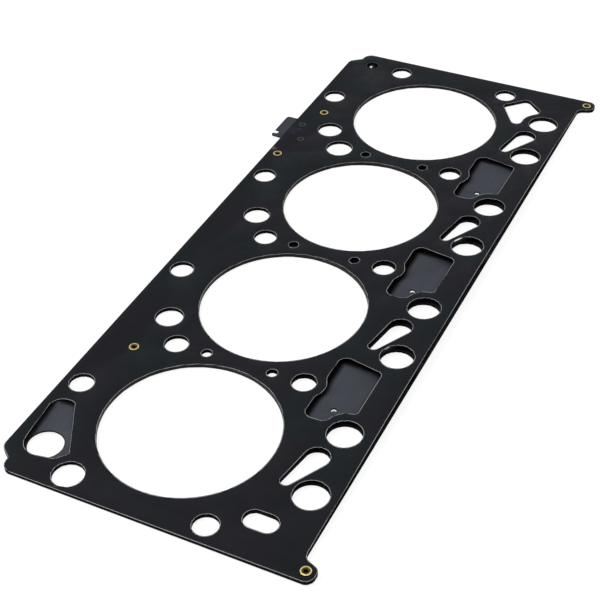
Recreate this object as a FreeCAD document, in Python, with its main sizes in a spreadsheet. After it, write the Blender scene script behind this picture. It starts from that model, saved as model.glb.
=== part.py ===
import FreeCAD, Part
import math
import os

import Sketcher

# A multi-layer steel cylinder head gasket for a four-cylinder pushrod engine, laid flat.
# X runs along the line of bores, +Y to the long edge with the tab, Z up.
# The origin is the middle of the head bolt grid, on the surface that the eyelets stand on.

document = FreeCAD.newDocument("head_gasket")


# Driving dimensions in millimetres, one cell each

DIMENSIONS = [
    # name, value
    # the bores and the width of sheet left between two of them, which together set their pitch
    ("bore_radius", 45.5),
    ("bore_bridge", 10.6),
    # the steel sheets, the folded rings between them and the gap where each ring holds the distance sheet
    ("active_gauge", 0.35),
    ("distance_gauge", 0.8),
    ("ring_gauge", 0.35),
    ("ring_flange", 3.2),
    ("ring_fold_bevel", 0.2),
    ("ring_play", 0.1),
    # the outer edge: its ends are measured from the end columns of bolts, its long edges from the bore line
    ("near_end_margin", 10.3),
    ("far_end_margin", 14.5),
    ("tab_edge", 76.5),
    ("ear_edge", 85.8),
    # the stepped shoulders at the two corners of the tab edge
    ("shoulder_depth", 7.3),
    ("ledge_length", 7.3),
    ("shoulder_length", 12.9),
    ("ledge_corner_radius", 5.8),
    ("step_foot_radius", 2.2),
    ("step_top_radius", 6.0),
    # the two ears at the corners of the other long edge
    ("ear_drop", 8.7),
    ("ear_foot_length", 8.9),
    ("ear_root_length", 12.3),
    ("ear_outer_radius", 4.8),
    ("ear_inner_radius", 3.8),
    ("ear_root_radius", 4.5),
    # head bolts, two of whose holes are wider for the locating dowels
    ("bolt_row", 37.0),
    ("bolt_hole_radius", 6.4),
    ("dowel_hole_radius", 8.0),
    ("side_bolt_shift", 5.0),
    ("side_bolt_row", 66.0),
    ("side_bolt_hole_radius", 6.5),
    # coolant and oil passages
    ("coolant_shift", 17.2),
    ("coolant_row", 51.5),
    ("coolant_hole_radius", 7.5),
    ("bridge_row", 19.0),
    ("bridge_hole_radius", 2.8),
    ("slot_shift", 12.2),
    ("slot_row", 58.8),
    ("slot_length", 17.6),
    ("slot_radius", 5.4),
    ("drain_shift", 1.4),
    ("drain_row", 59.4),
    ("drain_hole_radius", 4.2),
    ("drain_metering_radius", 2.0),
    # pushrod passages, two for each cylinder
    ("pushrod_radius", 8.9),
    ("inlet_pushrod_shift", 15.6),
    ("inlet_pushrod_row", 72.8),
    ("outlet_pushrod_shift", 25.6),
    ("outlet_pushrod_row", 71.0),
    # the teardrop passage beside each pair of pushrods
    ("teardrop_point_shift", 12.0),
    ("teardrop_point_row", 58.3),
    ("teardrop_point_radius", 3.0),
    ("teardrop_bulb_shift", 6.7),
    ("teardrop_bulb_row", 65.2),
    ("teardrop_bulb_radius", 6.4),
    # the three windows that show the distance sheet, measured from the bolt column above each
    ("window_top", 46.3),
    ("window_bottom", 70.9),
    ("window_left", 21.0),
    ("window_right", 26.2),
    ("window_right_foot", 20.8),
    ("window_left_foot", 10.7),
    ("window_waist", 12.4),
    ("window_waist_row", 63.0),
    ("window_hip_row", 58.0),
    ("window_dip_width", 7.6),
    ("window_dip_depth", 3.7),
    ("window_left_radius", 4.5),
    ("window_dip_edge_radius", 6.0),
    ("window_dip_radius", 9.8),
    ("window_right_radius", 5.0),
    ("window_foot_radius", 3.5),
    ("window_heel_radius", 2.2),
    ("window_waist_radius", 9.0),
    ("window_hip_radius", 4.0),
    ("metering_shift", 10.4),
    ("metering_row", 58.3),
    ("metering_radius", 1.4),
    # the three-cornered window over the large coolant hole, measured from the first column of bolts
    ("corner_window_left", 2.2),
    ("corner_window_left_top", 68.4),
    ("corner_window_left_foot_place", 5.7),
    ("corner_window_left_foot", 49.0),
    ("corner_window_heel_place", 11.2),
    ("corner_window_heel", 43.9),
    ("corner_window_right", 42.4),
    ("corner_window_right_foot", 61.0),
    ("corner_window_right_top", 72.6),
    ("corner_window_wide_radius", 9.6),
    ("corner_window_foot_radius", 3.0),
    ("corner_window_right_foot_radius", 3.5),
    ("corner_window_end_radius", 7.0),
    ("corner_coolant_shift", 12.4),
    ("corner_coolant_row", 58.3),
    ("corner_coolant_radius", 9.1),
    # the kite-shaped passage at the far end, measured back from the last column of bolts
    ("kite_tail_place", 39.2),
    ("kite_tail_row", 57.2),
    ("kite_top_place", 11.4),
    ("kite_top_row", 39.5),
    ("kite_nose_place", -1.4),
    ("kite_nose_row", 52.3),
    ("kite_foot_place", 11.6),
    ("kite_foot_row", 66.1),
    ("kite_waist_place", 20.0),
    ("kite_tail_radius", 3.4),
    ("kite_top_radius", 3.0),
    ("kite_nose_radius", 3.5),
    ("kite_foot_radius", 4.5),
    ("kite_waist_radius", 13.0),
    # the notched tab of the distance sheet that tells its thickness
    ("tab_shift", 2.4),
    ("tab_width", 24.2),
    ("tab_height", 7.5),
    ("tab_corner_radius", 1.8),
    ("tab_root_radius", 1.5),
    ("notch_shift", 4.6),
    ("notch_radius", 1.8),
    ("notch_depth", 3.2),
    # the spring of the upper sheet: it lies flat along the tab edge and the two ends, and arches between the ears
    ("spring_rise", 4.8),
    ("spring_start", 40.0),
    ("spring_land", 10.6),
    ("trim_margin", 3.0),
    # eyelets
    ("eyelet_inner_radius", 1.0),
    ("eyelet_wall", 0.4),
    ("eyelet_flange_radius", 2.7),
    ("eyelet_flange", 0.3),
    ("eyelet_mouth_bevel", 0.5),
    ("eyelet_rim_bevel", 0.1),
    ("eyelet_play", 0.05),
    ("ear_eyelet_inset", 5.8),
    ("ear_eyelet_drop", 3.6),
    ("near_eyelet_shift", 11.5),
    ("near_eyelet_row", 56.0),
    ("middle_eyelet_shift", 21.2),
    ("middle_eyelet_row", 69.8),
    ("far_eyelet_shift", 34.2),
    ("far_eyelet_row", 63.6),
]

# the arch grows with the square of the distance from the flat strip, so midway it has a quarter of its rise
MIDWAY_RISE = 0.25

# the floor of the tab's notch is a half circle, less a hair so that its two arcs stay apart
NOTCH_ROUNDING = 0.99

BORE_COUNT = 4
BOLT_COLUMNS = 5
DOWEL_COLUMNS = (0, 3)

sheet = document.addObject("Spreadsheet::Sheet", "Sizes")
for line, (name, number) in enumerate(DIMENSIONS, start=1):
    sheet.set(f"A{line}", name)
    sheet.set(f"B{line}", str(number))
    sheet.setAlias(f"B{line}", name)
document.recompute()


class Length:
    """A number together with the cell formula that gives it."""

    def __init__(self, formula, number):
        self.formula = formula
        self.number = number

    def __add__(self, other):
        return Length(f"({self.formula} + {other.formula})", self.number + other.number)

    def __sub__(self, other):
        return Length(f"({self.formula} - {other.formula})", self.number - other.number)

    def __mul__(self, factor):
        return Length(f"({self.formula} * {factor})", self.number * factor)

    def __neg__(self):
        return self * -1


def size(name):
    return Length(f"Sizes.{name}", float(sheet.get(name)))


ZERO = Length("0", 0.0)


BORE_PITCH = size("bore_radius") * 2 + size("bore_bridge")


def bolt_column(index):
    return BORE_PITCH * (index - (BOLT_COLUMNS - 1) / 2)


def bore_centre(index):
    return BORE_PITCH * (index - (BORE_COUNT - 1) / 2)


FIRST_COLUMN = bolt_column(0)
LAST_COLUMN = bolt_column(BOLT_COLUMNS - 1)
TAB_COLUMN = bolt_column(3)


# Heights of the stack, from the surface up

LOWER_LEVEL = size("eyelet_flange")
RING_LEVEL = LOWER_LEVEL + size("active_gauge")
DISTANCE_LEVEL = RING_LEVEL + size("ring_gauge")
UPPER_LEVEL = DISTANCE_LEVEL + size("distance_gauge") + size("ring_gauge")
STACK_HEIGHT = UPPER_LEVEL + size("active_gauge") - LOWER_LEVEL


# Sketch helpers

def origin_plane(body, role):
    return next(f for f in body.Origin.OriginFeatures if f.Role == role)


def new_sketch(body, name, plane="XY_Plane"):
    sketch = body.newObject("Sketcher::SketchObject", name)
    sketch.AttachmentSupport = (origin_plane(body, plane), [""])
    sketch.MapMode = "FlatFace"
    return sketch


def drive(sketch, driven):
    """Add constraints, each given with the length that drives it, or None for a geometric one."""
    first = sketch.ConstraintCount
    sketch.addConstraint([constraint for constraint, _ in driven])
    for index, (_, length) in enumerate(driven, start=first):
        if length is not None:
            sketch.setExpression(f"Constraints[{index}]", length.formula)


def placed(geometry, point, x, y):
    """Constraints that hold one point of a piece of geometry at x, y."""
    return [
        (Sketcher.Constraint("DistanceX", -1, 1, geometry, point, x.number), x),
        (Sketcher.Constraint("DistanceY", -1, 1, geometry, point, y.number), y),
    ]


def circles(sketch, rings):
    """Circles, each given as x, y and radius."""
    driven = []
    for x, y, radius in rings:
        centre = FreeCAD.Vector(x.number, y.number, 0)
        upright = FreeCAD.Vector(0, 0, 1)
        circle = sketch.addGeometry(Part.Circle(centre, upright, radius.number), False)
        driven += placed(circle, 3, x, y)
        driven.append((Sketcher.Constraint("Radius", circle, radius.number), radius))
    drive(sketch, driven)


def corner_arc(before, corner, after, radius):
    """The arc that rounds a corner, where it touches both sides, and whether it turns left."""
    inward = (before - corner).normalize()
    outward = (after - corner).normalize()
    half_angle = inward.getAngle(outward) / 2
    reach = radius / math.tan(half_angle)
    start = corner + inward * reach
    end = corner + outward * reach
    centre = corner + (inward + outward).normalize() * (radius / math.sin(half_angle))
    middle = centre + (corner - centre).normalize() * radius
    turns_left = (corner - before).cross(after - corner).z > 0
    ends = (start, end) if turns_left else (end, start)
    return Part.Arc(ends[0], middle, ends[1]), start, end, turns_left


def rounded_outline(sketch, corners):
    """A closed outline through corners, each given as x, y and its radius, or None where it is sharp."""
    points = [FreeCAD.Vector(x.number, y.number, 0) for x, y, _ in corners]
    count = len(corners)
    arcs = []
    for index, (_, _, radius) in enumerate(corners):
        if radius is None:
            arcs.append((None, points[index], points[index], True))
        else:
            before = points[index - 1]
            after = points[(index + 1) % count]
            arcs.append(corner_arc(before, points[index], after, radius.number))
    sides = []
    for index in range(count):
        side = Part.LineSegment(arcs[index][2], arcs[(index + 1) % count][1])
        sides.append(sketch.addGeometry(side, False))
    driven = []
    for index, (x, y, radius) in enumerate(corners):
        arriving = sides[index - 1]
        leaving = sides[index]
        mark = sketch.addGeometry(Part.Point(points[index]), True)
        driven += placed(mark, 1, x, y)
        if radius is None:
            driven.append((Sketcher.Constraint("Coincident", arriving, 2, mark, 1), None))
            driven.append((Sketcher.Constraint("Coincident", leaving, 1, mark, 1), None))
            continue
        arc, _, _, turns_left = arcs[index]
        rounding = sketch.addGeometry(arc, False)
        first, last = (1, 2) if turns_left else (2, 1)
        driven.append((Sketcher.Constraint("PointOnObject", mark, 1, arriving), None))
        driven.append((Sketcher.Constraint("PointOnObject", mark, 1, leaving), None))
        driven.append((Sketcher.Constraint("Tangent", arriving, 2, rounding, first), None))
        driven.append((Sketcher.Constraint("Tangent", rounding, last, leaving, 1), None))
        driven.append((Sketcher.Constraint("Radius", rounding, radius.number), radius))
    drive(sketch, driven)


def belt_outline(sketch, first, second):
    """The outline of a belt round two circles, each given as x, y and radius."""
    centres = [FreeCAD.Vector(x.number, y.number, 0) for x, y, _ in (first, second)]
    radii = [first[2].number, second[2].number]
    along = centres[1] - centres[0]
    lean = math.acos((radii[0] - radii[1]) / along.Length)
    heading = math.atan2(along.y, along.x)
    ways = [FreeCAD.Vector(math.cos(heading + turn), math.sin(heading + turn), 0) for turn in (lean, -lean)]
    upper = [centre + ways[0] * radius for centre, radius in zip(centres, radii)]
    lower = [centre + ways[1] * radius for centre, radius in zip(centres, radii)]
    back = centres[0] - along.normalize() * radii[0]
    front = centres[1] + along * radii[1]
    first_arc = sketch.addGeometry(Part.Arc(upper[0], back, lower[0]), False)
    lower_side = sketch.addGeometry(Part.LineSegment(lower[0], lower[1]), False)
    second_arc = sketch.addGeometry(Part.Arc(lower[1], front, upper[1]), False)
    upper_side = sketch.addGeometry(Part.LineSegment(upper[1], upper[0]), False)
    joints = [
        (first_arc, 2, lower_side, 1),
        (lower_side, 2, second_arc, 1),
        (second_arc, 2, upper_side, 1),
        (upper_side, 2, first_arc, 1),
    ]
    driven = [(Sketcher.Constraint("Tangent", *joint), None) for joint in joints]
    driven += placed(first_arc, 3, first[0], first[1])
    driven += placed(second_arc, 3, second[0], second[1])
    driven.append((Sketcher.Constraint("Radius", first_arc, radii[0]), first[2]))
    driven.append((Sketcher.Constraint("Radius", second_arc, radii[1]), second[2]))
    drive(sketch, driven)


# Feature helpers

def new_body(name):
    body = document.addObject("PartDesign::Body", name)
    body.Label = name
    return body


def pad(body, sketch, thickness):
    feature = body.newObject("PartDesign::Pad", "sheet_blank")
    feature.Profile = sketch
    feature.setExpression("Length", thickness.formula)
    sketch.Visibility = False
    return feature


def punch(body, sketch, name):
    """Cut a sketch on the lower face up through the whole sheet."""
    feature = body.newObject("PartDesign::Pocket", name)
    feature.Profile = sketch
    feature.Type = "ThroughAll"
    feature.Reversed = True
    return feature


def repeat(body, feature, name, count):
    """Repeat a punched passage along the engine at the pitch of its bores."""
    row = body.newObject("PartDesign::LinearPattern", name)
    row.Originals = [feature]
    row.Direction = (feature.Profile[0], ["H_Axis"])
    row.Occurrences = count
    row.setExpression("Length", (BORE_PITCH * (count - 1)).formula)
    body.Tip = row
    return row


def spin(body, sketch):
    """Turn a section in the XZ plane once round its upright axis."""
    feature = body.newObject("PartDesign::Revolution", "turned_section")
    feature.Profile = sketch
    feature.ReferenceAxis = (sketch, ["V_Axis"])
    feature.Angle = 360
    return feature


def place(item, x, y, level):
    item.setExpression("Placement.Base.x", x.formula)
    item.setExpression("Placement.Base.y", y.formula)
    item.setExpression("Placement.Base.z", level.formula)


# The outer edge of the sheets

LEFT_END = FIRST_COLUMN - size("near_end_margin")
RIGHT_END = LAST_COLUMN + size("far_end_margin")


def shoulder(end, inward):
    """The stepped corner at one end of the tab edge, from the end inwards."""
    ledge = size("tab_edge") - size("shoulder_depth")
    return [
        (end, ledge, size("ledge_corner_radius")),
        (end + size("ledge_length") * inward, ledge, size("step_foot_radius")),
        (end + size("shoulder_length") * inward, size("tab_edge"), size("step_top_radius")),
    ]


def ear(end, inward):
    """The ear at one end of the other long edge, from the end inwards."""
    foot = -(size("ear_edge") + size("ear_drop"))
    return [
        (end, foot, size("ear_outer_radius")),
        (end + size("ear_foot_length") * inward, foot, size("ear_inner_radius")),
        (end + size("ear_root_length") * inward, -size("ear_edge"), size("ear_root_radius")),
    ]


def identity_tab():
    """The notched tab, from its right foot round to its left foot."""
    edge = size("tab_edge")
    top = edge + size("tab_height")
    left = TAB_COLUMN - size("tab_shift")
    right = left + size("tab_width")
    notch = left + size("notch_shift")
    notch_floor = top - size("notch_depth")
    round_floor = size("notch_radius") * NOTCH_ROUNDING
    return [
        (right, edge, size("tab_root_radius")),
        (right, top, size("tab_corner_radius")),
        (notch + size("notch_radius"), top, None),
        (notch + size("notch_radius"), notch_floor, round_floor),
        (notch - size("notch_radius"), notch_floor, round_floor),
        (notch - size("notch_radius"), top, None),
        (left, top, size("tab_corner_radius")),
        (left, edge, size("tab_root_radius")),
    ]


def sheet_edge(tab):
    near_ear = ear(LEFT_END, 1)
    far_ear = ear(RIGHT_END, -1)
    near_shoulder = shoulder(LEFT_END, 1)
    far_shoulder = shoulder(RIGHT_END, -1)
    return near_ear + far_ear[::-1] + far_shoulder + tab + near_shoulder[::-1]


# The round holes

EYELETS = {
    "eyelet_near_ear": (LEFT_END + size("ear_eyelet_inset"), -(size("ear_edge") + size("ear_eyelet_drop"))),
    "eyelet_far_ear": (RIGHT_END - size("ear_eyelet_inset"), -(size("ear_edge") + size("ear_eyelet_drop"))),
    "eyelet_near": (bolt_column(1) - size("near_eyelet_shift"), size("near_eyelet_row")),
    "eyelet_middle": (TAB_COLUMN - size("middle_eyelet_shift"), size("middle_eyelet_row")),
    "eyelet_far": (TAB_COLUMN + size("far_eyelet_shift"), size("far_eyelet_row")),
}


DRAIN_PLACE = LAST_COLUMN + size("drain_shift")


def bores(radius):
    return [(bore_centre(index), ZERO, radius) for index in range(BORE_COUNT)]


def bolt_holes():
    holes = []
    for index in range(BOLT_COLUMNS):
        wide = index in DOWEL_COLUMNS
        tab_side = size("dowel_hole_radius") if wide else size("bolt_hole_radius")
        holes.append((bolt_column(index), size("bolt_row"), tab_side))
        holes.append((bolt_column(index), -size("bolt_row"), size("bolt_hole_radius")))
    for index in range(BORE_COUNT):
        side_bolt = bore_centre(index) + size("side_bolt_shift")
        holes.append((side_bolt, size("side_bolt_row"), size("side_bolt_hole_radius")))
    return holes


def fluid_holes():
    holes = []
    for index in range(1, BOLT_COLUMNS - 1):
        column = bolt_column(index)
        holes.append((column + size("coolant_shift"), size("coolant_row"), size("coolant_hole_radius")))
        for side in (1, -1):
            holes.append((column, size("bridge_row") * side, size("bridge_hole_radius")))
    return holes


def pushrod_holes():
    holes = []
    for index in range(BORE_COUNT):
        inlet = bore_centre(index) - size("inlet_pushrod_shift")
        outlet = bore_centre(index) + size("outlet_pushrod_shift")
        holes.append((inlet, -size("inlet_pushrod_row"), size("pushrod_radius")))
        holes.append((outlet, -size("outlet_pushrod_row"), size("pushrod_radius")))
    return holes


def eyelet_holes():
    radius = size("eyelet_inner_radius") + size("eyelet_wall") + size("eyelet_play")
    return [(x, y, radius) for x, y in EYELETS.values()]


# The shaped passages and windows

def teardrop(sketch):
    first_bore = bore_centre(0)
    point = (
        first_bore - size("teardrop_point_shift"),
        -size("teardrop_point_row"),
        size("teardrop_point_radius"),
    )
    bulb = (
        first_bore + size("teardrop_bulb_shift"),
        -size("teardrop_bulb_row"),
        size("teardrop_bulb_radius"),
    )
    belt_outline(sketch, point, bulb)


def slot(sketch):
    half = size("slot_length") * 0.5 - size("slot_radius")
    x = FIRST_COLUMN + size("slot_shift")
    upper = (x, half - size("slot_row"), size("slot_radius"))
    lower = (x, -half - size("slot_row"), size("slot_radius"))
    belt_outline(sketch, upper, lower)


def window(sketch):
    """The window below the second bolt column, drawn in to clear the bolt hole and the pushrod beside it."""
    column = bolt_column(1)
    top = -size("window_top")
    bottom = -size("window_bottom")
    left = column - size("window_left")
    dip = top - size("window_dip_depth")
    rounded_outline(sketch, [
        (left, top, size("window_left_radius")),
        (left, -size("window_hip_row"), size("window_hip_radius")),
        (column - size("window_waist"), -size("window_waist_row"), size("window_waist_radius")),
        (column - size("window_left_foot"), bottom, size("window_heel_radius")),
        (column + size("window_right_foot"), bottom, size("window_foot_radius")),
        (column + size("window_right"), top, size("window_right_radius")),
        (column + size("window_dip_width"), top, size("window_dip_edge_radius")),
        (column, dip, size("window_dip_radius")),
        (column - size("window_dip_width"), top, size("window_dip_edge_radius")),
    ])


def corner_window(sketch):
    left = FIRST_COLUMN + size("corner_window_left")
    left_foot = FIRST_COLUMN + size("corner_window_left_foot_place")
    heel = FIRST_COLUMN + size("corner_window_heel_place")
    right = FIRST_COLUMN + size("corner_window_right")
    foot_radius = size("corner_window_foot_radius")
    rounded_outline(sketch, [
        (left, size("corner_window_left_top"), size("corner_window_wide_radius")),
        (left_foot, size("corner_window_left_foot"), foot_radius),
        (heel, size("corner_window_heel"), foot_radius),
        (right, size("corner_window_right_foot"), size("corner_window_right_foot_radius")),
        (right, size("corner_window_right_top"), size("corner_window_end_radius")),
    ])


def kite(sketch):
    corners = []
    for corner, row in (("tail", "tail"), ("waist", "tail"), ("foot", "foot"), ("nose", "nose"), ("top", "top")):
        x = LAST_COLUMN - size(f"kite_{corner}_place")
        corners.append((x, -size(f"kite_{row}_row"), size(f"kite_{corner}_radius")))
    rounded_outline(sketch, corners)


# The three sheets

def common_passages(body, bore_radius):
    """What passes through all three sheets."""
    sketch = new_sketch(body, "round_holes")
    circles(sketch, bores(bore_radius) + bolt_holes() + fluid_holes() + pushrod_holes() + eyelet_holes())
    punch(body, sketch, "punched_holes")
    for outline, name in ((slot, "slot"), (kite, "kite")):
        sketch = new_sketch(body, name + "_outline")
        outline(sketch)
        punch(body, sketch, name)
    sketch = new_sketch(body, "teardrop_outline")
    teardrop(sketch)
    repeat(body, punch(body, sketch, "teardrop"), "teardrop_row", BORE_COUNT)


def active_passages(body):
    """The windows that only the two outer sheets have."""
    sketch = new_sketch(body, "corner_window_outline")
    corner_window(sketch)
    punch(body, sketch, "corner_window")
    sketch = new_sketch(body, "drain_hole_outline")
    circles(sketch, [(DRAIN_PLACE, size("drain_row"), size("drain_hole_radius"))])
    punch(body, sketch, "drain_hole")
    sketch = new_sketch(body, "window_outline")
    window(sketch)
    repeat(body, punch(body, sketch, "window"), "window_row", BORE_COUNT - 1)


def distance_passages(body):
    """The holes in the distance sheet that the windows of the outer sheets leave open."""
    metered = []
    for index in range(1, BOLT_COLUMNS - 1):
        place_along = bolt_column(index) - size("metering_shift")
        metered.append((place_along, -size("metering_row"), size("metering_radius")))
    metered.append((DRAIN_PLACE, size("drain_row"), size("drain_metering_radius")))
    corner_coolant = FIRST_COLUMN + size("corner_coolant_shift")
    metered.append((corner_coolant, size("corner_coolant_row"), size("corner_coolant_radius")))
    sketch = new_sketch(body, "metering_holes")
    circles(sketch, metered)
    punch(body, sketch, "metered_holes")


def plain_sheet(name, thickness, tab, bore_radius):
    body = new_body(name)
    sketch = new_sketch(body, "edge_outline")
    rounded_outline(sketch, sheet_edge(tab))
    pad(body, sketch, thickness)
    common_passages(body, bore_radius)
    return body


def make_lower_layer():
    body = plain_sheet("lower_layer", size("active_gauge"), [], size("bore_radius"))
    active_passages(body)
    place(body, ZERO, ZERO, LOWER_LEVEL)
    return body


def make_distance_layer():
    bore = size("bore_radius") + size("ring_gauge") + size("ring_play")
    body = plain_sheet("distance_layer", size("distance_gauge"), identity_tab(), bore)
    distance_passages(body)
    place(body, ZERO, ZERO, DISTANCE_LEVEL)
    return body


def spring_section(name, rise, row):
    """A section across the sprung blank at one distance from the bore line: flat ends and an arch between."""
    sketch = document.addObject("Sketcher::SketchObject", name)
    upright = FreeCAD.Rotation(FreeCAD.Vector(1, 0, 0), 90)
    sketch.Placement = FreeCAD.Placement(FreeCAD.Vector(0, 0, 0), upright)
    place(sketch, ZERO, row, UPPER_LEVEL)
    start = LEFT_END + size("spring_land")
    end = RIGHT_END - size("spring_land")
    left = LEFT_END - size("trim_margin")
    right = RIGHT_END + size("trim_margin")
    middle = (LEFT_END + RIGHT_END) * 0.5
    gauge = size("active_gauge")
    driven = []
    edges = []
    for level in (ZERO, gauge):
        ends = [FreeCAD.Vector(x.number, level.number, 0) for x in (left, start, end, right)]
        crown = FreeCAD.Vector(middle.number, level.number + rise.number, 0)
        near = sketch.addGeometry(Part.LineSegment(ends[0], ends[1]), False)
        arch = Part.Arc(ends[1], crown, ends[2]) if rise.number else Part.LineSegment(ends[1], ends[2])
        arch = sketch.addGeometry(arch, False)
        far = sketch.addGeometry(Part.LineSegment(ends[2], ends[3]), False)
        edges.append((near, arch, far))
        driven += placed(near, 1, left, level)
        driven += placed(near, 2, start, level)
        driven += placed(far, 1, end, level)
        driven += placed(far, 2, right, level)
        # an arc is stored from its right-hand end
        first, last = (2, 1) if rise.number else (1, 2)
        driven.append((Sketcher.Constraint("Coincident", near, 2, arch, first), None))
        driven.append((Sketcher.Constraint("Coincident", arch, last, far, 1), None))
        if rise.number:
            mark = sketch.addGeometry(Part.Point(crown), True)
            driven += placed(mark, 1, middle, level + rise)
            driven.append((Sketcher.Constraint("PointOnObject", mark, 1, arch), None))
    (lower_near, _, lower_far), (upper_near, _, upper_far) = edges
    for lower, lower_point, upper, upper_point in (
        (lower_near, 1, upper_near, 1),
        (lower_far, 2, upper_far, 2),
    ):
        x = left if lower_point == 1 else right
        foot = FreeCAD.Vector(x.number, 0, 0)
        head = FreeCAD.Vector(x.number, gauge.number, 0)
        closing = sketch.addGeometry(Part.LineSegment(foot, head), False)
        driven.append((Sketcher.Constraint("Coincident", closing, 1, lower, lower_point), None))
        driven.append((Sketcher.Constraint("Coincident", closing, 2, upper, upper_point), None))
    drive(sketch, driven)
    return sketch


def make_upper_layer():
    plan = plain_sheet("upper_plan", size("active_gauge") + size("spring_rise") * 2, [], size("bore_radius"))
    active_passages(plan)
    place(plan, ZERO, ZERO, UPPER_LEVEL - size("spring_rise") * 0.5)
    start = size("spring_start")
    end = -(size("ear_edge") + size("ear_drop") + size("trim_margin"))
    sections = [
        spring_section("flat_section", ZERO, start),
        spring_section("middle_section", size("spring_rise") * MIDWAY_RISE, (start + end) * 0.5),
        spring_section("arched_section", size("spring_rise"), end),
    ]
    arch = document.addObject("Part::Loft", "sprung_blank")
    arch.Sections = sections
    arch.Solid = True
    arch.Ruled = False
    strip = document.addObject("Part::Box", "flat_strip")
    margin = size("trim_margin")
    strip.setExpression("Length", (RIGHT_END - LEFT_END + margin * 2).formula)
    strip.setExpression("Width", (size("tab_edge") + margin - start).formula)
    strip.setExpression("Height", size("active_gauge").formula)
    place(strip, LEFT_END - margin, start, UPPER_LEVEL)
    blank = document.addObject("Part::Fuse", "whole_blank")
    blank.Base = arch
    blank.Tool = strip
    layer = document.addObject("Part::Common", "upper_layer")
    layer.Base = blank
    layer.Tool = plan
    layer.Label = "upper_layer"
    return layer


# The folded rings that seal the bores

def make_bore_ring(index):
    body = new_body(f"bore_ring_{index + 1}")
    sketch = new_sketch(body, "fold_section", "XZ_Plane")
    inner = size("bore_radius")
    outer = inner + size("ring_flange")
    gauge = size("ring_gauge")
    opening = gauge + size("distance_gauge")
    height = opening + gauge
    bevel = size("ring_fold_bevel")
    rounded_outline(sketch, [
        (inner, bevel, None),
        (inner + bevel, ZERO, None),
        (outer, ZERO, None),
        (outer, gauge, None),
        (inner + gauge, gauge, None),
        (inner + gauge, opening, None),
        (outer, opening, None),
        (outer, height, None),
        (inner + bevel, height, None),
        (inner, height - bevel, None),
    ])
    spin(body, sketch)
    place(body, bore_centre(index), ZERO, RING_LEVEL)
    return body


# The eyelets that hold the sheets together

def make_eyelet(name, x, y):
    body = new_body(name)
    sketch = new_sketch(body, "eyelet_section", "XZ_Plane")
    throat = size("eyelet_inner_radius")
    barrel = throat + size("eyelet_wall")
    flange = size("eyelet_flange_radius")
    lower_seat = size("eyelet_flange")
    upper_seat = lower_seat + STACK_HEIGHT
    crest = upper_seat + size("eyelet_flange")
    mouth = size("eyelet_mouth_bevel")
    rim = size("eyelet_rim_bevel")
    rounded_outline(sketch, [
        (throat, mouth, None),
        (throat + mouth, ZERO, None),
        (flange - rim, ZERO, None),
        (flange, rim, None),
        (flange, lower_seat, None),
        (barrel, lower_seat, None),
        (barrel, upper_seat, None),
        (flange, upper_seat, None),
        (flange, crest - rim, None),
        (flange - rim, crest, None),
        (throat + mouth, crest, None),
        (throat, crest - mouth, None),
    ])
    spin(body, sketch)
    place(body, x, y, ZERO)
    return body


# Build every piece, check it and write it out

pieces = [make_lower_layer(), make_distance_layer(), make_upper_layer()]
pieces += [make_bore_ring(index) for index in range(BORE_COUNT)]
pieces += [make_eyelet(name, x, y) for name, (x, y) in EYELETS.items()]

document.recompute()

for item in document.Objects:
    if "Invalid" in item.State or "Error" in item.State:
        raise RuntimeError(f"{item.Label} failed: {item.State}")

os.makedirs("parts", exist_ok=True)
for piece in pieces:
    shape = piece.Shape
    if shape.isNull() or not shape.isValid() or len(shape.Solids) != 1:
        raise RuntimeError(f"{piece.Label} is not one valid solid")
    shape.exportStep(os.path.join("parts", piece.Label + ".step"))
    print(f"{piece.Label}: {shape.Volume:.1f} cubic mm")
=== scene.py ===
import math

import bmesh
import bpy
from mathutils import Matrix, Vector


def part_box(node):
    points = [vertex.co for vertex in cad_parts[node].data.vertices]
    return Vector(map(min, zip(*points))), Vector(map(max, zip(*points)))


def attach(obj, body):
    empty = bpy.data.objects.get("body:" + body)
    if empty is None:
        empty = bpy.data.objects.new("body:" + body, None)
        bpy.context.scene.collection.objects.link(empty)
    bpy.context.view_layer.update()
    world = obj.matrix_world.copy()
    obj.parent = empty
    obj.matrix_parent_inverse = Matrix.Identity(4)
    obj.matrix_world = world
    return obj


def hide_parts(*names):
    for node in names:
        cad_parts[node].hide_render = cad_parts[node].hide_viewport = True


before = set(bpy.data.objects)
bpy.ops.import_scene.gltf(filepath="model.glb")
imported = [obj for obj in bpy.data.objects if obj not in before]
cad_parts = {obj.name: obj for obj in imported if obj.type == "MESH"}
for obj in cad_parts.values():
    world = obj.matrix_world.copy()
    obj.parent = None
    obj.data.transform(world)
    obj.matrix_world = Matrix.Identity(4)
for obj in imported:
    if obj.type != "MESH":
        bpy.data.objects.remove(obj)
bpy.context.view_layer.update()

# A multi-layer steel head gasket: two black coated sheets, a bare distance sheet between them,
# a folded ring in each bore and five brass eyelets. It lies on a white studio floor.

BODY = "root"
MM = 0.001
WHITE = (1, 1, 1, 1)

# Sizes of the visible detail, in millimetres

WELD = 0.002
CORNER_MATCH = 0.01
ROLL_WIDTH = 0.28
ROLL_DROP = 0.13
RIM_WIDTH = 0.22
BORE_RADIUS = 45.5
RING_GAUGE = 0.35
RING_FOLD = 0.26
EYELET_THROAT = 1.0
EYELET_BARREL = 1.4
EYELET_FLANGE = 0.3
EYELET_LIP = 0.13
EYELET_MOUTH = 0.5
# the tarnish and painted shade of an eyelet: where it fades out above the throat, and where it starts inside the lip
MOUTH_TARNISH_AND_SHADE = 2.0
MOUTH_FADE = 0.35
LIP_TARNISH_AND_SHADE = 0.05
LIP_FADE = 0.15

RING_STEPS = 192
EYELET_STEPS = 48
FOLD_SEGMENTS = 4
MOUTH_SEGMENTS = 6
LIP_SEGMENTS = 3
SMOOTH_ANGLE = math.radians(35)
FLAT_NORMAL = 0.7
EYELETS = {f"{place}_eyelet": f"eyelet_{place}" for place in ("near_ear", "far_ear", "near", "middle", "far")}
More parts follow.
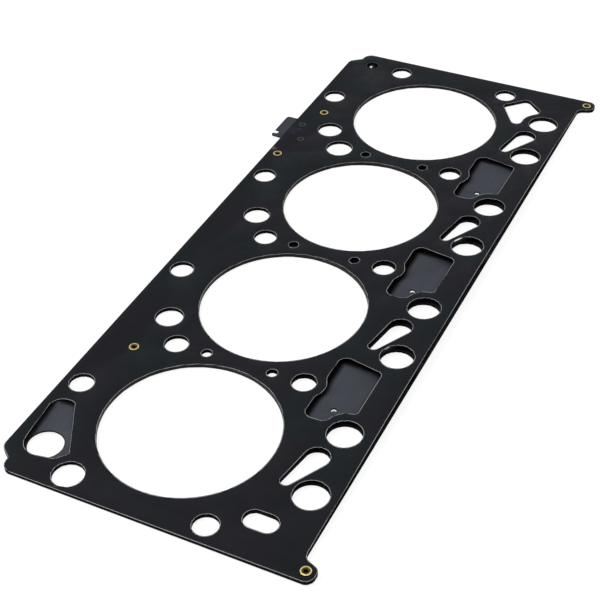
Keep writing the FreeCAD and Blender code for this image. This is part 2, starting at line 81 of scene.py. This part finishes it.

# Where the finishes, the painted shade and the painted reflections change on the sheets, in millimetres: x, y and a
# radius unless a line says otherwise

PRESSED_MARKS = ((117.3, 70.5), (101.5, 64.0))
BLUE_REFLECTION_SPOT = (109.5, 73.6, 5.5)
PALE_REFLECTION_SPOTS = ((106.2, 70.9, 2.2), (111.4, 69.8, 2.2))
SCUFF = (84.9, 74.5)
DRAIN = (204.6, 59.4, 4.3)
TAB_CROSSING = (111.3, 76.5, 12.5)
TAB_FOOT = 76.2
NOOK_DEPTH = 6.5
# a window's far end, its rear side at that end and the slope of it, the depth of the painted shadow, and its near end
CORNER_WINDOW = (-160.8, 72.6, 0.1045, 4.8, -203.0)
POCKET_WINDOWS = tuple((far, -46.3, 0.0, 5.0, far - 50) for far in (-76.6, 25.0, 126.6))
WINDOW_SIDES = (CORNER_WINDOW, *POCKET_WINDOWS)
WINDOW_WIDTH = 45
WINDOW_MARGIN = 4

# Painted shade on the floor where it shows through the small holes: x, y, radius and the share of light left there

METERED_SHADES = tuple((x + 0.6, -58.0, 0.9, 0.12) for x in (-112.0, -10.4, 91.2))
BRIDGE_SHADES = tuple((x + 1.2, y + 0.6, 3.4, 0.0) for x in (0.0, 101.6) for y in (-19.0, 19.0))
DRAIN_SHADE = (207.0, 58.9, 1.8, 0.02)
FLOOR_SHADES = (*METERED_SHADES, *BRIDGE_SHADES, DRAIN_SHADE)
HOLE_SHADE_EDGE = 0.3
# painted shade on the floor inside each eyelet: its radius, its soft edge and the share of glow left there
EYELET_SHADE = 2.0
EYELET_SHADE_EDGE = 0.1
EYELET_SHADE_SHARE = 0.03

# Colours

GREEN_BLACK = (0.0096, 0.0125, 0.0140)
VIOLET_BLACK = (0.0118, 0.0112, 0.0154)
MOTTLED_BLACK = (0.0163, 0.0173, 0.0196)
SCRATCH = (0.05, 0.051, 0.054)
# painted blue and pale reflections on the coating beside the tab
PAINTED_BLUE_REFLECTION = (0.0165, 0.0195, 0.034)
PAINTED_PALE_REFLECTION = (0.04, 0.043, 0.044)
# the pressed rings' pale grey, partly a painted highlight on their relief
PRESSED_GREY_AND_HIGHLIGHT = (0.062, 0.067, 0.068)
SCUFFED_METAL = (0.16, 0.16, 0.165)
UPPER_RIM = (0.27, 0.27, 0.272)
# painted shade: the punched edges of the lower sheet are near black
LOWER_RIM_PAINTED_SHADE = (0.0045, 0.004, 0.0037)
STEEL_GREY = (0.048, 0.053, 0.063)
STEEL_PALE = (0.053, 0.058, 0.068)
STEEL_PATCH = (0.043, 0.047, 0.056)
STEEL_SPOT = (0.037, 0.040, 0.046)
TAB_GREY = (0.020, 0.023, 0.028)
# painted shade round the drain's metering hole
DRAIN_PAINTED_SHADE = (0.002, 0.002, 0.002)
# painted shade under the upper sheet and along the windows
PAINTED_SHADE_BLACK = (0.005, 0.005, 0.0055)
# painted shade: the cut edges of the distance sheet are near black
CUT_STEEL_PAINTED_SHADE = (0.011, 0.0088, 0.0075)
RING_GREY = (0.25, 0.24, 0.228)
RING_BROWN = (0.19, 0.178, 0.165)
RING_PALE = (0.31, 0.30, 0.285)
# painted shade on the folded rings
RING_PAINTED_SHADE = (0.012, 0.0105, 0.01)
BRASS_PALE = (0.80, 0.66, 0.33)
BRASS_DEEP = (0.66, 0.52, 0.20)
# tarnish and painted shade in the eyelets
BRASS_TARNISH_AND_SHADE = (0.045, 0.030, 0.002)
FLOOR_PALE = (0.2, 0.2, 0.2)
FLOOR_DARK = (0.01, 0.01, 0.01)

# The studio, in metres, and the photograph's viewpoint, in degrees and millimetres

FLOOR_SIZE = 6.0
FLOOR_GLOW = 0.85
SURROUND_LIGHT = 0.25
LAMPS = (
    ("key_lamp", (-0.3, 1.4, 1.5), 1.2, 30),
    ("top_lamp", (0, 0.2, 2.2), 1.6, 15),
    ("back_lamp", (1.3, -0.7, 1.4), 1.0, 6),
)
LAMP_AIM = (0, 0, 0)
CAMERA_ANGLES = (-62.8045, 39.5795, -1.8375)
CAMERA_DISTANCE = 719.759
CAMERA_TARGET = (-40.282, -4.716, 0)
CAMERA_LENS = 79.352
CAMERA_SENSOR = 36
CAMERA_CLIP = 0.01


# Finishes

class Finish:
    """One surface finish and the nodes that make it. The scale of its noises is per metre."""

    def __init__(self, name):
        self.material = bpy.data.materials.new(name)
        self.material.use_nodes = True
        self.tree = self.material.node_tree
        self.shader = self.tree.nodes["Principled BSDF"]
        self.place = self.add("ShaderNodeTexCoord").outputs["Object"]

    def add(self, kind, inputs=None, **settings):
        node = self.tree.nodes.new(kind)
        for name, value in settings.items():
            setattr(node, name, value)
        self.feed(node, inputs or {})
        return node

    def feed(self, node, inputs):
        for socket, value in inputs.items():
            if isinstance(value, bpy.types.NodeSocket):
                self.tree.links.new(value, node.inputs[socket])
            else:
                node.inputs[socket].default_value = value

    def stretched(self, scale, turn=0.0):
        node = self.add("ShaderNodeMapping", {"Vector": self.place, "Rotation": (0, 0, turn), "Scale": scale})
        return node.outputs["Vector"]

    def noise(self, scale, detail=2.0, place=None):
        inputs = {"Vector": place or self.place, "Scale": scale, "Detail": detail, "Roughness": 0.5}
        return self.add("ShaderNodeTexNoise", inputs).outputs["Fac"]

    def figure(self, operation, first, second=0.0):
        return self.add("ShaderNodeMath", {0: first, 1: second}, operation=operation).outputs[0]

    def sum(self, first, second):
        return self.figure("ADD", first, second)

    def less(self, first, second):
        return self.figure("SUBTRACT", first, second)

    def times(self, first, second):
        return self.figure("MULTIPLY", first, second)

    def least(self, first, second):
        return self.figure("MINIMUM", first, second)

    def most(self, first, second):
        return self.figure("MAXIMUM", first, second)

    def ramp(self, value, low, high, start=0.0, end=1.0):
        """A smooth step from start to end as the value goes from low to high."""
        inputs = {"Value": value, "From Min": low, "From Max": high, "To Min": start, "To Max": end}
        return self.add("ShaderNodeMapRange", inputs, interpolation_type="SMOOTHSTEP").outputs["Result"]

    def fade(self, value, low, high):
        """A smooth step down from one to nothing."""
        return self.ramp(value, low, high, 1.0, 0.0)

    def tint(self, share, first, second):
        node = self.add("ShaderNodeMix", data_type="RGBA")
        colours = [value if isinstance(value, bpy.types.NodeSocket) else (*value, 1) for value in (first, second)]
        self.feed(node, {"Factor": share, 6: colours[0], 7: colours[1]})
        return node.outputs[2]

    def attribute(self, name):
        return self.add("ShaderNodeAttribute", attribute_name=name).outputs["Fac"]

    def axes(self):
        return self.add("ShaderNodeSeparateXYZ", {"Vector": self.place}).outputs

    def spot(self, x, y):
        """How far a point of the surface is from the upright line at x, y, in millimetres."""
        flat = self.add("ShaderNodeVectorMath", {0: self.place, 1: (1, 1, 0)}, operation="MULTIPLY")
        inputs = {0: flat.outputs["Vector"], 1: (x * MM, y * MM, 0)}
        reach = self.add("ShaderNodeVectorMath", inputs, operation="DISTANCE").outputs["Value"]
        return self.times(reach, 1 / MM)

    def relief(self, height, depth, before=None):
        """A bump of the given depth, in millimetres."""
        inputs = {"Height": height, "Distance": depth * MM, "Strength": 1.0}
        if before:
            inputs["Normal"] = before
        return self.add("ShaderNodeBump", inputs).outputs["Normal"]


def worn_edge(finish):
    """The share of bare metal at a punched edge, broken up by fine noise."""
    chips = finish.noise(700, 3.0)
    worn = finish.sum(finish.attribute("wear_and_shade"), finish.times(chips, 0.4))
    return finish.ramp(worn, 0.45, 0.85)


def tab_marks(finish, colour):
    """Two pressed rings beside the tab, a painted blue reflection, two painted pale reflections and a scuff at the
    edge.
    """
    # a painted blue reflection and two painted pale reflections on the coating beside the tab
    x, y, radius = BLUE_REFLECTION_SPOT
    blue_sheen = finish.fade(finish.spot(x, y), 1.5, radius)
    colour = finish.tint(finish.times(blue_sheen, 0.6), colour, PAINTED_BLUE_REFLECTION)
    sheen_breakup = finish.ramp(finish.noise(330, 3.0), 0.3, 0.6)
    for x, y, radius in PALE_REFLECTION_SPOTS:
        pale_sheen = finish.times(finish.fade(finish.spot(x, y), 0.4, radius), sheen_breakup)
        colour = finish.tint(finish.times(pale_sheen, 0.55), colour, PAINTED_PALE_REFLECTION)
    pressed = None
    # pressed rings in the coating, their pale grey partly a painted highlight on their relief
    for x, y in PRESSED_MARKS:
        reach = finish.spot(x, y)
        ring = finish.times(finish.ramp(reach, 1.0, 1.7), finish.fade(reach, 1.9, 2.6))
        pressed = ring if pressed is None else finish.most(pressed, ring)
    colour = finish.tint(finish.times(pressed, 0.8), colour, PRESSED_GREY_AND_HIGHLIGHT)
    scuff = finish.fade(finish.spot(*SCUFF), 0.4, 2.3)
    scuff = finish.times(scuff, finish.ramp(finish.noise(520, 4.0), 0.35, 0.6))
    return finish.tint(finish.times(scuff, 0.8), colour, SCUFFED_METAL), pressed


def black_coating(name, rim, marked):
    """The rubber coating of one sheet, with its own colour where the punched edge shows the metal."""
    finish = Finish(name)
    cloudy = finish.noise(22, 3.0)
    mottled = finish.noise(90, 4.0)
    grain = finish.noise(2600, 2.0)
    colour = finish.tint(finish.ramp(cloudy, 0.38, 0.62), GREEN_BLACK, VIOLET_BLACK)
    colour = finish.tint(finish.ramp(mottled, 0.45, 0.8, 0.0, 0.3), colour, MOTTLED_BLACK)
    streaks = finish.noise(1.0, 4.0, finish.stretched((18, 900, 18), math.radians(24)))
    crossing = finish.noise(1.0, 4.0, finish.stretched((700, 22, 22), math.radians(-11)))
    scratched = finish.most(finish.ramp(streaks, 0.70, 0.78), finish.ramp(crossing, 0.71, 0.79))
    colour = finish.tint(finish.times(scratched, 0.18), colour, SCRATCH)
    bare = worn_edge(finish)
    rough = finish.ramp(finish.noise(160, 4.0), 0.3, 0.7, 0.5, 0.62)
    shape = finish.relief(grain, 0.012)
    shape = finish.relief(mottled, 0.02, shape)
    if marked:
        colour, pressed = tab_marks(finish, colour)
        shape = finish.relief(pressed, -0.12, shape)
        # no bright rim where the edge crosses the tab, and a dull one round the drain
        x, y, reach = TAB_CROSSING
        bare = finish.times(bare, finish.ramp(finish.spot(x, y), reach - 1, reach + 1))
        x, y, radius = DRAIN
        bare = finish.times(bare, finish.ramp(finish.spot(x, y), radius + 0.5, radius + 1.0, 0.3, 1.0))
    finish.feed(finish.shader, {
        "Base Color": finish.tint(bare, colour, rim),
        "Metallic": finish.times(bare, 0.3),
        "Roughness": finish.less(rough, finish.times(bare, 0.1)),
        "Normal": shape,
        "Specular IOR Level": 0.035,
    })
    return finish.material


def window_painted_shadow(finish):
    """Painted shadow on the distance sheet along the rear and far sides of the windows."""
    axes = finish.axes()
    along = finish.times(axes["X"], 1 / MM)
    across = finish.times(axes["Y"], 1 / MM)
    ragged = finish.times(finish.noise(250, 3.0), 0.8)
    painted_shade = None
    for far, side, slope, depth, start in WINDOW_SIDES:
        edge = finish.sum(side, finish.times(finish.less(along, far), slope))
        rear = finish.sum(finish.less(edge, across), ragged)
        end = finish.sum(finish.less(far, along), ragged)
        front = side - WINDOW_WIDTH
        limits = (
            finish.ramp(across, front, front + 1),
            finish.fade(along, far + WINDOW_MARGIN, far + WINDOW_MARGIN + 1),
            finish.fade(across, side + WINDOW_MARGIN, side + WINDOW_MARGIN + 1),
        )
        inside = finish.ramp(along, start - 1, start)
        for limit in limits:
            inside = finish.least(inside, limit)
        band = finish.times(finish.fade(finish.least(rear, end), depth * 0.3, depth), inside)
        painted_shade = band if painted_shade is None else finish.most(painted_shade, band)
    return painted_shade


def bare_steel():
    """The distance sheet: rolled grey steel, with painted shade in its nooks and a painted shadow along the windows.
    """
    finish = Finish("bare distance steel")
    rolled = finish.noise(1.0, 5.0, finish.stretched((25, 1400, 1400)))
    patchy = finish.noise(38, 4.0)
    spots = finish.noise(420, 3.0)
    colour = finish.tint(finish.ramp(rolled, 0.3, 0.7), STEEL_GREY, STEEL_PALE)
    colour = finish.tint(finish.ramp(patchy, 0.4, 0.75, 0.0, 0.5), colour, STEEL_PATCH)
    colour = finish.tint(finish.ramp(spots, 0.66, 0.74, 0.0, 0.3), colour, STEEL_SPOT)
    tab = finish.ramp(finish.axes()["Y"], TAB_FOOT * MM, (TAB_FOOT + 0.6) * MM)
    colour = finish.tint(finish.times(tab, 0.3), colour, TAB_GREY)
    # painted shade round the metering hole under the drain
    x, y, radius = DRAIN
    colour = finish.tint(finish.fade(finish.spot(x, y), radius, radius + 0.6), colour, DRAIN_PAINTED_SHADE)
    # painted shade in the narrow gap under the upper sheet, and a painted shadow along the foot of each window
    nook = finish.add("ShaderNodeAmbientOcclusion", {"Distance": NOOK_DEPTH * MM}, samples=8).outputs["AO"]
    painted_shade = finish.most(finish.ramp(nook, 0.4, 0.97, 0.95, 0.0), window_painted_shadow(finish))
    colour = finish.tint(painted_shade, colour, PAINTED_SHADE_BLACK)
    # the cut edges, painted near black as shade
    cut = finish.times(worn_edge(finish), 0.97)
    shape = finish.relief(rolled, 0.004)
    shape = finish.relief(spots, 0.006, shape)
    finish.feed(finish.shader, {
        "Base Color": finish.tint(cut, colour, CUT_STEEL_PAINTED_SHADE),
        "Metallic": finish.less(0.3, finish.times(finish.most(painted_shade, cut), 0.3)),
        "Specular IOR Level": 0.0,
        "Roughness": finish.ramp(patchy, 0.3, 0.7, 0.56, 0.66),
        "Normal": shape,
    })
    return finish.material


def ring_steel():
    """The folded rings: drawn steel, with painted shade low on the wall and along the ear side."""
    finish = Finish("folded ring steel")
    drawn = finish.noise(1.0, 4.0, finish.stretched((60, 60, 2600)))
    stained = finish.noise(55, 4.0)
    colour = finish.tint(finish.ramp(stained, 0.35, 0.7), RING_GREY, RING_BROWN)
    colour = finish.tint(finish.ramp(drawn, 0.3, 0.75, 0.0, 0.3), colour, RING_PALE)
    axes = finish.axes()
    # painted shade: darker low on the wall and on the ear side, where the arched upper sheet shades the ring
    level = finish.sum(axes["Z"], finish.times(stained, 0.3 * MM))
    low = finish.fade(level, 2.12 * MM, 2.32 * MM)
    ear_side = finish.fade(axes["Y"], -14 * MM, 4 * MM)
    ring_shade = finish.most(low, ear_side)
    colour = finish.tint(finish.times(ring_shade, 0.93), colour, RING_PAINTED_SHADE)
    finish.feed(finish.shader, {
        "Base Color": colour,
        "Metallic": finish.ramp(ring_shade, 0.0, 1.0, 0.8, 0.0),
        "Specular IOR Level": 0.1,
        "Roughness": finish.ramp(stained, 0.3, 0.7, 0.36, 0.5),
        "Normal": finish.relief(drawn, 0.01),
    })
    return finish.material


def eyelet_brass():
    """The eyelets: bright brass, with tarnish and painted shade down the throat and round the lip."""
    finish = Finish("eyelet brass")
    tone = finish.noise(700, 3.0)
    dimples = finish.noise(2400, 2.0)
    colour = finish.tint(finish.ramp(tone, 0.3, 0.7), BRASS_PALE, BRASS_DEEP)
    # tarnish, and painted shade, down the throat and round the lip
    tarnish_and_shade = finish.ramp(finish.sum(finish.attribute("wear_and_shade"), finish.times(tone, 0.3)), 0.4, 1.1)
    finish.feed(finish.shader, {
        "Base Color": finish.tint(tarnish_and_shade, colour, BRASS_TARNISH_AND_SHADE),
        "Metallic": 0.95,
        "Roughness": finish.ramp(tone, 0.3, 0.7, 0.26, 0.38),
        "Normal": finish.relief(dimples, 0.01),
    })
    return finish.material


# Building helpers

def finished(build, name, node, material):
    """Make the object for a built mesh, smooth where it bends gently and sharp at its corners."""
    for face in build.faces:
        face.smooth = True
    for edge in build.edges:
        edge.smooth = edge.calc_face_angle(0.0) < SMOOTH_ANGLE
    mesh = bpy.data.meshes.new(name)
    build.to_mesh(mesh)
    build.free()
    mesh.materials.append(material)
    piece = bpy.data.objects.new(name, mesh)
    bpy.context.scene.collection.objects.link(piece)
    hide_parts(node)
    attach(piece, BODY)
    return piece


def rim_verts(faces):
    """The corners of a patch of faces that other faces share."""
    patch = set(faces)
    return {
        vert for face in faces for vert in face.verts
        if any(other not in patch for other in vert.link_faces)
    }


def punched_sheet(name, node, material):
    """A sheet with the punched edges rolled over and a worn rim along them."""
    build = bmesh.new()
    build.from_mesh(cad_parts[node].data)
    bmesh.ops.remove_doubles(build, verts=build.verts, dist=WELD * MM)
    wear_and_shade = build.verts.layers.float.new("wear_and_shade")
    for vert in build.verts:
        vert[wear_and_shade] = 0.0
    for side in (1, -1):
        flat = [face for face in build.faces if face.normal.z * side > FLAT_NORMAL]
        edge_verts = {
            vert for face in flat for edge in face.edges
            if any(other.normal.z * side <= FLAT_NORMAL for other in edge.link_faces)
            for vert in edge.verts
        }
        bmesh.ops.inset_region(build, faces=flat, thickness=ROLL_WIDTH * MM, use_boundary=True, use_even_offset=False)
        shoulder = rim_verts(flat)
        bmesh.ops.inset_region(build, faces=flat, thickness=RIM_WIDTH * MM, use_boundary=True, use_even_offset=False)
        for vert in edge_verts:
            vert.co.z -= ROLL_DROP * MM * side
            vert[wear_and_shade] = 1.0
        for vert in shoulder:
            vert[wear_and_shade] = 1.0
        for vert in rim_verts(flat):
            vert[wear_and_shade] = 0.0
    return finished(build, name, node, material)


def turned(outline, centre, steps):
    """A closed outline of radius and height, in millimetres, turned once round an upright line."""
    build = bmesh.new()
    corners = [
        build.verts.new((centre.x + radius * MM, centre.y, centre.z + height * MM))
        for radius, height in outline
    ]
    edges = [build.edges.new((corners[index - 1], corner)) for index, corner in enumerate(corners)]
    bmesh.ops.spin(
        build, geom=corners + edges, cent=centre, axis=(0, 0, 1), angle=math.tau, steps=steps, use_merge=True,
    )
    bmesh.ops.remove_doubles(build, verts=build.verts, dist=WELD * MM)
    bmesh.ops.recalc_face_normals(build, faces=build.faces)
    return build


def soften(build, centre, radius, height, size, segments):
    """Round the turned corner at one radius and height."""
    corner = []
    for edge in build.edges:
        first, second = (
            math.isclose(math.hypot(v.co.x - centre.x, v.co.y - centre.y), radius * MM, abs_tol=CORNER_MATCH * MM)
            and math.isclose(v.co.z - centre.z, height * MM, abs_tol=CORNER_MATCH * MM)
            for v in edge.verts
        )
        if first and second:
            corner.append(edge)
    bmesh.ops.bevel(
        build, geom=corner, offset=size * MM, segments=segments, profile=0.5, affect="EDGES", material=-1,
    )


def middle_of(node):
    """The foot of the upright line through the middle of a node, and the node's spread."""
    low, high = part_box(node)
    return Vector(((low.x + high.x) / 2, (low.y + high.y) / 2, low.z)), high - low


def folded_ring(name, node, material):
    """A U-shaped ring folded round the bore edge of the distance sheet."""
    centre, spread = middle_of(node)
    outer = spread.x / 2 / MM
    height = spread.z / MM
    wall = BORE_RADIUS + RING_GAUGE
    build = turned([
        (BORE_RADIUS, 0), (outer, 0), (outer, RING_GAUGE), (wall, RING_GAUGE),
        (wall, height - RING_GAUGE), (outer, height - RING_GAUGE), (outer, height), (BORE_RADIUS, height),
    ], centre, RING_STEPS)
    for level in (0, height):
        soften(build, centre, BORE_RADIUS, level, RING_FOLD, FOLD_SEGMENTS)
    return finished(build, name, node, material)


def flared_eyelet(name, node, material):
    """A tubular eyelet with its two ends flared and pressed flat, with tarnish and painted shade down its throat and
    round its lip.
    """
    centre, spread = middle_of(node)
    flange = spread.x / 2 / MM
    height = spread.z / MM
    build = turned([
        (EYELET_THROAT, 0), (flange, 0), (flange, EYELET_FLANGE), (EYELET_BARREL, EYELET_FLANGE),
        (EYELET_BARREL, height - EYELET_FLANGE), (flange, height - EYELET_FLANGE), (flange, height),
        (EYELET_THROAT, height),
    ], centre, EYELET_STEPS)
    for level in (0, height):
        soften(build, centre, EYELET_THROAT, level, EYELET_MOUTH, MOUTH_SEGMENTS)
        soften(build, centre, flange, level, EYELET_LIP, LIP_SEGMENTS)
    # how much tarnish and painted shade each corner gets
    wear_and_shade = build.verts.layers.float.new("wear_and_shade")
    for vert in build.verts:
        reach = math.hypot(vert.co.x - centre.x, vert.co.y - centre.y) / MM
        mouth = (MOUTH_TARNISH_AND_SHADE - reach) / MOUTH_FADE
        lip = (reach - flange + EYELET_LIP + LIP_TARNISH_AND_SHADE) / LIP_FADE
        vert[wear_and_shade] = min(max(mouth, lip, 0.0), 1.0)
    return finished(build, name, node, material)


# The gasket

upper_coating = black_coating("black coating of the upper sheet", UPPER_RIM, True)
# the lower sheet's punched edges are painted near black as shade
lower_coating = black_coating("black coating of the lower sheet", LOWER_RIM_PAINTED_SHADE, False)
punched_sheet("upper_sheet", "upper_layer", upper_coating)
punched_sheet("distance_sheet", "distance_layer", bare_steel())
punched_sheet("lower_sheet", "lower_layer", lower_coating)

fold_finish = ring_steel()
for number in (1, 2, 3, 4):
    folded_ring(f"folded_ring_{number}", f"bore_ring_{number}", fold_finish)

brass = eyelet_brass()
for name, node in EYELETS.items():
    flared_eyelet(name, node, brass)


# Studio floor, light and camera

def studio_floor():
    """A floor that reads as white in view and in reflections, and still shows a shadow, with painted shade where it
    shows through the eyelets and the small holes.
    """
    finish = Finish("studio floor")
    path = finish.add("ShaderNodeLightPath").outputs
    seen = finish.most(path["Is Camera Ray"], path["Is Glossy Ray"])
    seen = finish.times(finish.most(seen, path["Is Transmission Ray"]), FLOOR_GLOW)
    # painted shade on the floor's glow inside each eyelet
    for node in EYELETS.values():
        centre = middle_of(node)[0] / MM
        reach = finish.spot(centre.x, centre.y)
        shade = finish.ramp(reach, EYELET_SHADE, EYELET_SHADE + EYELET_SHADE_EDGE, EYELET_SHADE_SHARE, 1.0)
        seen = finish.times(seen, shade)
    # painted shade on the floor under the small holes, in its colour and its glow
    lit = 1.0
    for x, y, radius, share in FLOOR_SHADES:
        lit = finish.times(finish.ramp(finish.spot(x, y), radius, radius + HOLE_SHADE_EDGE, share, 1.0), lit)
    finish.feed(finish.shader, {
        "Base Color": finish.tint(lit, FLOOR_DARK, FLOOR_PALE),
        "Roughness": 0.9,
        "Specular IOR Level": 0.1,
    })
    glow = finish.add("ShaderNodeEmission", {"Color": WHITE, "Strength": finish.times(seen, lit)})
    both = finish.add("ShaderNodeAddShader", {0: finish.shader.outputs["BSDF"], 1: glow.outputs["Emission"]})
    finish.feed(finish.tree.nodes["Material Output"], {"Surface": both.outputs["Shader"]})
    build = bmesh.new()
    bmesh.ops.create_grid(build, x_segments=1, y_segments=1, size=FLOOR_SIZE)
    mesh = bpy.data.meshes.new("studio_floor")
    build.to_mesh(mesh)
    build.free()
    mesh.materials.append(finish.material)
    floor = bpy.data.objects.new("studio_floor", mesh)
    bpy.context.scene.collection.objects.link(floor)


def studio_world():
    """A soft surround that reads as white in view and in reflections."""
    world = bpy.data.worlds.new("studio")
    bpy.context.scene.world = world
    world.use_nodes = True
    tree = world.node_tree
    background = tree.nodes["Background"]
    path = tree.nodes.new("ShaderNodeLightPath").outputs
    seen = path["Is Camera Ray"]
    for ray in ("Is Glossy Ray", "Is Transmission Ray"):
        either = tree.nodes.new("ShaderNodeMath")
        either.operation = "MAXIMUM"
        tree.links.new(seen, either.inputs[0])
        tree.links.new(path[ray], either.inputs[1])
        seen = either.outputs[0]
    strength = tree.nodes.new("ShaderNodeMapRange")
    tree.links.new(seen, strength.inputs["Value"])
    strength.inputs["To Min"].default_value = SURROUND_LIGHT
    strength.inputs["To Max"].default_value = 1.0
    background.inputs["Color"].default_value = WHITE
    tree.links.new(strength.outputs["Result"], background.inputs["Strength"])


def soft_lamp(name, place, size, power):
    lamp = bpy.data.lights.new(name, "AREA")
    lamp.shape = "SQUARE"
    lamp.size = size
    lamp.energy = power
    holder = bpy.data.objects.new(name, lamp)
    holder.location = place
    holder.rotation_euler = (Vector(LAMP_AIM) - Vector(place)).to_track_quat("-Z", "Y").to_euler()
    bpy.context.scene.collection.objects.link(holder)


def photo_camera():
    """The photograph's own viewpoint, fitted to the sheet outlines."""
    azimuth, elevation, roll = (math.radians(angle) for angle in CAMERA_ANGLES)
    back = Vector((
        math.sin(azimuth) * math.cos(elevation),
        -math.cos(azimuth) * math.cos(elevation),
        math.sin(elevation),
    ))
    level = Vector((math.cos(azimuth), math.sin(azimuth), 0))
    lift = back.cross(level)
    right = level * math.cos(roll) + lift * math.sin(roll)
    up = lift * math.cos(roll) - level * math.sin(roll)
    camera = bpy.data.cameras.new("photo_camera")
    camera.sensor_width = CAMERA_SENSOR
    camera.lens = CAMERA_LENS
    camera.clip_start = CAMERA_CLIP
    holder = bpy.data.objects.new("photo_camera", camera)
    turn = Matrix((right, up, back)).transposed().to_4x4()
    target = Vector(CAMERA_TARGET) * MM
    holder.matrix_world = Matrix.Translation(target + back * CAMERA_DISTANCE * MM) @ turn
    bpy.context.scene.collection.objects.link(holder)
    bpy.context.scene.camera = holder


studio_floor()
studio_world()
for lamp_name, place, size, power in LAMPS:
    soft_lamp(lamp_name, place, size, power)
photo_camera()
bpy.context.scene.view_settings.view_transform = "Standard"
